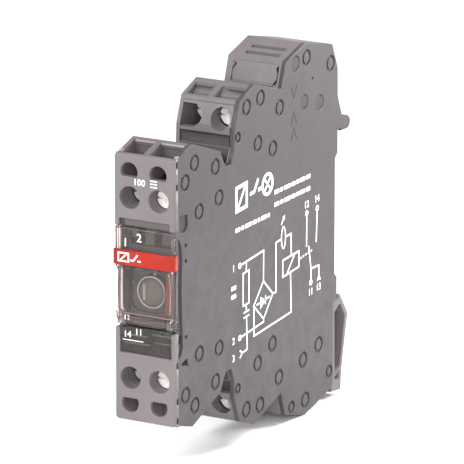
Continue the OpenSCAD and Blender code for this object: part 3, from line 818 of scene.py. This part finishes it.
def make_flap():
    """A clear frame with a bowed window, side walls and knuckles, and the pin that it turns on."""
    waist = [(-FLAP_X, WAIST_TOP), (-5.95, 3.2), (-WAIST_X, 1.5),
             (-WAIST_X, -2.4), (-5.95, -3.8), (-FLAP_X, -4.7)]
    face = [(-FLAP_X, FLAP_LOW), (FLAP_X, FLAP_LOW), (FLAP_X, FLAP_TOP), (-FLAP_X, FLAP_TOP)] + waist
    opening = rectangle(-5.2, -4.4, 5.2, 3.7, 0.5)
    parts = [slab([face, opening], 64.45, FRONT, 0.22, "front"), bowed_shell(WAIST_X, FLAP_LOW, BULGE_TOP)]
    for x, low in ((-FLAP_X, WAIST_TOP), (FLAP_X - FLAP_WALL, FLAP_LOW)):
        parts.append(slab([rectangle(-65.1, low, -64, FLAP_TOP, 0.2)], x, x + FLAP_WALL, 0.15, "side"))
    for x0, x1 in KNUCKLES:
        knuckle = [circle(HINGE, KNUCKLE_R, 40), circle(HINGE, KNUCKLE_BORE, 32)]
        parts.append(slab(knuckle, x0, x1, 0.12, "side"))
        parts.append(slab([rectangle(-65.2, -6.3, -64.4, -5.1, 0.15)], x0, x1, 0.12, "side"))
    piece("flap_moulding", parts, "front_flap", "clear_plastic", ["clear_cover"])
    # thin bars of painted highlight along the flap's top and bottom edges
    edges = [slab([rectangle(-6.3, 11.62, 6.3, 11.8)], FRONT - 0.1, FRONT, 0.04, "front"),
             slab([rectangle(-6.2, -5.0, 6.2, -4.85)], FRONT + 0.02, FRONT + 0.1, 0.03, "front")]
    piece("flap_bright_edges", edges, "front_flap", "clear_plastic", material=PINK_HIGHLIGHT)
    pin = slab([circle(HINGE, PIN_R, 32)], -6.33, 6.33, 0.12, "side")
    piece("flap_pin", [pin], "housing", "clear_plastic", ["cover_hinge_pin"])


def make_behind_flap():
    """What shows through the flap: a hollow darkened with painted shade, with blocks, an outline of painted
    shade round the lens, and two pips of painted highlight.
    """
    # the hollow's floor is painted shade
    hollow = slab([rectangle(-5.2, 7.7, 5.2, 11.9, 0.3)], 61.42, 61.55, 0.05, "front")
    piece("bezel_hollow_shade", [hollow], "housing", "bezel_dark", material=DEEP_SHADE)
    blocks = [slab([rectangle(-1.6, 8.2, 0.5, 11.6, 0.2)], 61.5, 62.2, 0.12, "front"),
              slab([rectangle(1.9, 8.4, 4.4, 11.4, 0.2)], 61.5, 61.8, 0.12, "front")]
    piece("bezel_blocks", blocks, "housing", "bezel_dark")
    ring = rectangle(-4.6, -5.0, 4.9, 3.6, 1.9)
    # a ring of painted shade round the lens
    groove = slab([ring, inset(ring, 0.38)], BEZEL_FRONT, BEZEL_FRONT + 0.13, 0.03, "front")
    piece("bezel_groove_shade", [groove], "housing", "bezel_dark", material=SHADE)
    # a tick and a pip of painted highlight
    tick = slab([rectangle(0.2, 2.25, 0.55, 3.2, 0.1)], BEZEL_FRONT + 0.1, BEZEL_FRONT + 0.25, 0.05, "front")
    pip = slab([circle((-4.9, 0.1), 0.24, 20)], 61.3, 61.75, 0.12, "front")
    piece("bezel_pip_highlights", [tick, pip], "housing", "bezel_dark", material=HIGHLIGHT_FROSTED)


def make_red_band():
    """Clip-on band, whose strip wraps round both edges of the flap, with a see-through leg inside."""
    outer, inner, back, thin = 6.6, 6.51, -64.1, -65.32
    shape = [(-outer, back), (-outer, -BAND_FRONT), (outer, -BAND_FRONT), (outer, back),
             (inner, back), (inner, thin), (-inner, thin), (-inner, back)]
    strip = slab([shape], 4.6, 7.6, 0.03, "top")
    piece("red_band_moulding", [strip], "front_flap", "red_plastic", ["red_band"])
    leg = slab([rectangle(4.2, -4.9, 5.15, 4.65)], 64.0, 64.2, 0.08, "front")
    foot = slab([rectangle(2.4, -5.1, 4.3, -4.3)], 64.0, 64.2, 0.08, "front")
    piece("red_band_leg", [leg, foot], "front_flap", "red_plastic", material=TINT)


def make_lens():
    """Round light guide: a domed button in a rim of painted highlight, with a bar of painted highlight and a
    bar of painted shade on the dome.
    """
    dome_r, dome_h, dome_y = 2.7, 0.55, -62.55
    angles = [math.radians(a) for a in range(10, 91, 10)]
    dome = [(0, dome_y - dome_h)] + [(dome_r * math.sin(t), dome_y - dome_h * math.cos(t)) for t in angles]
    post = [(3.2, -62.45), (3.2, -60.8), (1.5, -60.8), (1.5, -57.3), (0, -57.3)]
    body = lathe(dome + post, (0, LENS_Z))
    piece("light_guide_moulding", [body], "housing", "lens_plastic", ["light_guide"])
    # the rim is a ring of painted highlight
    piece("lens_rim", [torus(3.02, 0.135, (0, LENS_Z), -62.64)], "housing", "lens_plastic", material=HIGHLIGHT_FROSTED)
    # a bar of painted highlight on the dome
    streak = slab([rectangle(-1.65, LENS_Z - 1.6, -1.15, LENS_Z + 1.6, 0.2)], 62.9, 63.12, 0.05, "front")
    piece("lens_streak", [streak], "housing", "lens_plastic", material=SOFT_HIGHLIGHT)
    # a bar of painted shade beside the streak
    shadow = slab([rectangle(-1.05, LENS_Z - 1.7, -0.6, LENS_Z + 1.7, 0.15)], 62.9, 63.12, 0.05, "front")
    piece("lens_shadow", [shadow], "housing", "lens_plastic", material=RECESS_SHADE)


def make_window():
    """Smoked pane with fine bright ribs behind it."""
    pane = slab([rectangle(-5.55, -12.8, 5.55, -7.8, 0.2)], WINDOW_FRONT - 0.8, WINDOW_FRONT, 0.12, "front")
    piece("label_window_pane", [pane], "housing", "smoked_plastic", ["label_window"])
    places = [(-5.4, -9.75, -0.4, -9.5), (-5.2, -11.3, 0.3, -11.05),
              (0.9, -9.1, 5.3, -8.85), (1.2, -10.6, 5.2, -10.4)]
    # the ribs are lines of painted highlight behind the smoked pane
    ribs = [slab([rectangle(*place, 0.06)], 63.5, 63.9, 0.04, "front") for place in places]
    piece("window_ribs", ribs, "housing", "smoked_plastic", material=HIGHLIGHT_FROSTED)


HEAD_R, SHANK_R = 1.95, 1.5         # of the screws
HALF_SLOT, CROSS = 0.22, 1.2        # half the slot's width, and how far the short cross slot reaches
CROWN = 0.62                        # depth of the slotted part of a head


def make_screws():
    """Slotted and crossed screw heads with rounded edges."""
    w = HALF_SLOT
    reach = math.degrees(math.asin(w / HEAD_R))
    half = arc((0, 0), HEAD_R, reach, 180 - reach, 30) + [(-w, w), (-w, CROSS), (w, CROSS), (w, w)]
    for number in range(1, 9):
        low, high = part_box(f"screw_{number}")
        x, z = (low.x + high.x) / 2 / MM, (low.z + high.z) / 2 / MM
        face = -low.y / MM
        upper = [(x + a, z + b) for a, b in half]
        lower = [(x - a, z - b) for a, b in half]
        crown = slab([upper, lower], face - CROWN, face, 0.08, "front")
        head = slab([circle((x, z), HEAD_R)], face - 1.6, face - 0.55, 0.06, "front")
        shank = slab([circle((x, z), SHANK_R)], -high.y / MM, face - 1.5, 0.05, "front")
        body = f"screw_{number}"
        piece(f"screw_{number}_turned", [crown, head, shank], body, "bright_steel", [f"screw_{number}"])


# ---------------------------------------------------------------- marker cover and tiers

# The marker cover is drawn upright round its own middle, then tilted back onto the roof.
MARKER_TILT = math.radians(-18.8)
MARKER_AT = (0, -22.35, 33.3)
# its sides as (z, x)
MARKER_LEFT = [(-1.92, -4.75), (-0.7, -5.0), (0.3, -4.85), (1.2, -4.3), (1.45, -4.2), (1.72, -4.95)]
MARKER_RIGHT = [(-1.92, 4.4), (-0.8, 4.95), (0.2, 4.95), (1.2, 4.65), (1.5, 4.55), (1.72, 4.95)]
MARKER_SLIT = 0.45                  # between the cover's sides and the frame
FRAME_X = 5.12                      # outer edge of the frame


def along(table, z):
    """Value at z in a table of (z, x) pairs, eased between them."""
    for (z0, x0), (z1, x1) in zip(table, table[1:]):
        if z <= z1:
            t = max(0.0, (z - z0) / (z1 - z0))
            return x0 + (x1 - x0) * t * t * (3 - 2 * t)
    return table[-1][1]


def sheet_between(left, right, front, back, z0, z1, columns, rows=26):
    """A closed plate between two side curves x(z), with its front and its back given as y(x)."""
    grids = []
    for face in (front, back):
        grid = []
        for j in range(rows + 1):
            z = z0 + (z1 - z0) * j / rows
            a, b = left(z), right(z)
            places = [a + (b - a) * i / columns for i in range(columns + 1)]
            grid.append([(x, face(x), z) for x in places])
        grids.append(grid)
    return closed_sheets("sheet", grids)


def tilted(mesh):
    """A mesh moved from the marker's own middle to its place on the roof."""
    mesh.transform(Matrix.Translation(MARKER_AT) @ Matrix.Rotation(MARKER_TILT, 4, "X"))
    return mesh


def make_marker():
    """The bowed cover with its lip and two legs, and the frame on either side of it."""
    def left_edge(z):
        return along(MARKER_LEFT, z)

    def right_edge(z):
        return along(MARKER_RIGHT, z)

    def face(x):
        return -0.09 - 0.41 * (1 - (x / 5.1) ** 2)

    cover = sheet_between(left_edge, right_edge, face, lambda x: 0.35, -1.92, 1.72, 28)
    lip = sheet_between(left_edge, right_edge, lambda x: face(x) - 0.004, lambda x: -0.06, -2.35, 2.0, 28)
    legs = [slab([rectangle(x, 0.3, x + 1.2, 1.4)], -1.7, -1.1, 0.05, "top") for x in (-3.6, 2.4)]
    meshes = [tilted(m) for m in [cover, lip] + legs]
    piece("marker_cover_moulding", meshes, "marker", "marker_grey", ["marker_cover"])
    left = sheet_between(lambda z: -FRAME_X, lambda z: max(-FRAME_X + 0.01, left_edge(z) - MARKER_SLIT),
                         lambda x: -0.07, lambda x: 0.5, -1.95, 1.75, 4)
    right = sheet_between(lambda z: min(FRAME_X - 0.01, right_edge(z) + MARKER_SLIT), lambda z: FRAME_X,
                          lambda x: -0.07, lambda x: 0.5, -1.95, 1.75, 4)
    piece("marker_frame", [tilted(left), tilted(right)], "housing", "casing_grey")


def above_and_below(section, spans, rounding):
    """Bars of one [y, z] section over spans of x, and their mirror images below the rail."""
    above = [slab([section], x0, x1, rounding, "side") for x0, x1 in spans]
    return above + [flipped(slab([section], x0, x1, rounding, "side")) for x0, x1 in spans]


def make_tiers():
    """Painted shade in the hollows under the tier plates, wire funnels, and bars of painted highlight behind
    the front pockets and on the wall tips.
    """
    hollow = [(-41.85, 25.5), (-41.62, 25.5), (-41.62, 23.5), (-42.2, 22.9), (-43.15, 20.6), (-43.4, 20.6),
              (-42.42, 23.05), (-41.85, 23.6)]
    # painted shade in the hollows under the tier plates
    recesses = above_and_below(hollow, [(-5.5, 5.2)], 0.03)
    piece("tier_recess_shade", recesses, "housing", "casing_grey", material=SHADE)
    funnel = [(-35.72, 33.1), (-35.72, 32.4), (-37.0, 31.25), (-37.4, 31.65)]
    piece("wire_funnels", above_and_below(funnel, [(-5.6, 5.5)], 0.04), "housing", "casing_grey")
    # bars of painted highlight behind the front pockets and on the wall tips
    rims = above_and_below(circle((-59.12, 27.35), 0.3, 24), [(-5.4, 5.3)], 0.1)
    piece("pocket_rim_highlights", rims, "housing", "plate_grey", material=TIP_HIGHLIGHT)
    tips = above_and_below(circle((-63.55, 26.3), 0.42, 20), [(x, x + 0.8) for x in (-6.4, 5.6)], 0.2)
    piece("wall_tip_highlights", tips, "housing", "plate_grey", material=TIP_HIGHLIGHT)


# ---------------------------------------------------------------- rail foot

FOOT_TOP = -17.65
FOOT_SHAPE = [(-1.25, FOOT_TOP), (1.15, FOOT_TOP), (1.25, FOOT_TOP + 0.75), (1.8, FOOT_TOP + 0.75),
              (4.7, -20.9), (5.15, -21.8), (3.4, -29.5), (2.65, -33.5),
              (2.3, -37.1), (-1.9, -36.6), (-1.25, -34)]
FOOT_WINDOW = [(-0.45, -20.2), (1.3, -19.1), (2, -19.1), (3.85, -21.8),
               (2.4, -29.4), (1.9, -32), (-0.3, -33.4)]
FOOT_SLOT = [(1.7, -32.9), (1.5, -34.6), (-0.3, -34.4), (-0.4, -34)]
SHOE_LOW, SHOE_HIGH = -24.4, -19.4


def make_foot():
    """The springy loop with its screwdriver slot, and the shoe and plate that slide in the shell."""
    loop = slab([FOOT_SHAPE, FOOT_WINDOW, FOOT_SLOT], -6.2, 6.2, 0.16, "side")
    shoe = slab([rectangle(-2.6, SHOE_LOW, -1.2, SHOE_HIGH)], -2, 2, 0.05, "side")
    plate = slab([rectangle(-3.5, SHOE_LOW, -2.55, SHOE_HIGH)], -3.2, 3.2, 0.05, "side")
    piece("rail_foot_moulding", [loop, shoe, plate], "foot", "foot_grey", ["rail_foot"])


make_side_cover()
make_side_print()
make_top_plate()
make_bottom_plate()
make_front_print()
make_flap()
make_behind_flap()
make_red_band()
make_lens()
make_window()
make_screws()
make_marker()
make_tiers()
make_foot()

# ---------------------------------------------------------------- stage, lights and camera


def area_light(name, place, aim, size, watts):
    """A square white lamp, unseen itself. Metres."""
    lamp = bpy.data.lights.new(name, "AREA")
    lamp.shape = "SQUARE"
    lamp.size = size
    lamp.energy = watts
    holder = bpy.data.objects.new(name, lamp)
    bpy.context.scene.collection.objects.link(holder)
    holder.location = place
    holder.rotation_mode = "QUATERNION"
    holder.rotation_quaternion = (Vector(aim) - Vector(place)).to_track_quat("-Z", "Y")
    holder.visible_camera = False


def make_floor():
    """Pale paper under the lowest point of the part."""
    half, level = 3.0, CAD_BOX[0].z
    mesh = bpy.data.meshes.new("floor")
    corners = [(-half, -half, level), (half, -half, level), (half, half, level), (-half, half, level)]
    mesh.from_pydata(corners, [], [(0, 1, 2, 3)])
    floor = bpy.data.objects.new("floor", mesh)
    bpy.context.scene.collection.objects.link(floor)
    n = Nodes("floor_paper")
    mesh.materials.append(n.set(Base_Color=(0.93, 0.93, 0.93), Roughness=0.9,
                                Normal=n.bump(n.noise(4, 2), 0.01), Specular_IOR_Level=0.1))


def make_world():
    """Even white light from all round."""
    world = bpy.data.worlds.new("studio")
    bpy.context.scene.world = world
    world.use_nodes = True
    background = world.node_tree.nodes["Background"]
    background.inputs["Color"].default_value = (1.0, 1.0, 1.0, 1.0)
    background.inputs["Strength"].default_value = 0.95


AZIMUTH = math.radians(29.28)       # of the camera, round from -Y towards +X
ELEVATION = math.radians(15.67)
DISTANCE = 1.0193                   # from the rail seat, along the line of sight
ASIDE = Vector((-0.015416, -0.004258))  # how far right and up of the origin the line of sight passes
LENS = 395.0                        # focal length in millimetres
MIDDLE = (0, -0.03, 0)              # of the part, roughly


def make_camera():
    """A long lens, looking at the part from its front right and a little above."""
    back = Vector((math.sin(AZIMUTH) * math.cos(ELEVATION), -math.cos(AZIMUTH) * math.cos(ELEVATION),
                   math.sin(ELEVATION)))
    right = Vector((math.cos(AZIMUTH), math.sin(AZIMUTH), 0))
    up = back.cross(right)
    data = bpy.data.cameras.new("camera")
    data.lens = LENS
    data.sensor_width = 36.0
    data.clip_start, data.clip_end = 0.05, 20
    camera = bpy.data.objects.new("camera", data)
    bpy.context.scene.collection.objects.link(camera)
    camera.location = DISTANCE * back + ASIDE.x * right + ASIDE.y * up
    camera.rotation_mode = "QUATERNION"
    camera.rotation_quaternion = Matrix((right, up, back)).transposed().to_quaternion()
    bpy.context.scene.camera = camera


make_world()
make_floor()
make_camera()
area_light("key", (-0.30, -0.80, 0.60), MIDDLE, 0.4, 7)
area_light("front_right", (0.45, -0.80, 0.80), MIDDLE, 0.35, 1.5)
area_light("front_low", (0.42, -0.76, 0.27), MIDDLE, 0.25, 3.5)
area_light("rear_side", (0.085, 0.055, 0.075), (0, -0.01, 0.01), 0.06, 0.36)
bpy.context.scene.view_settings.view_transform = "Standard"
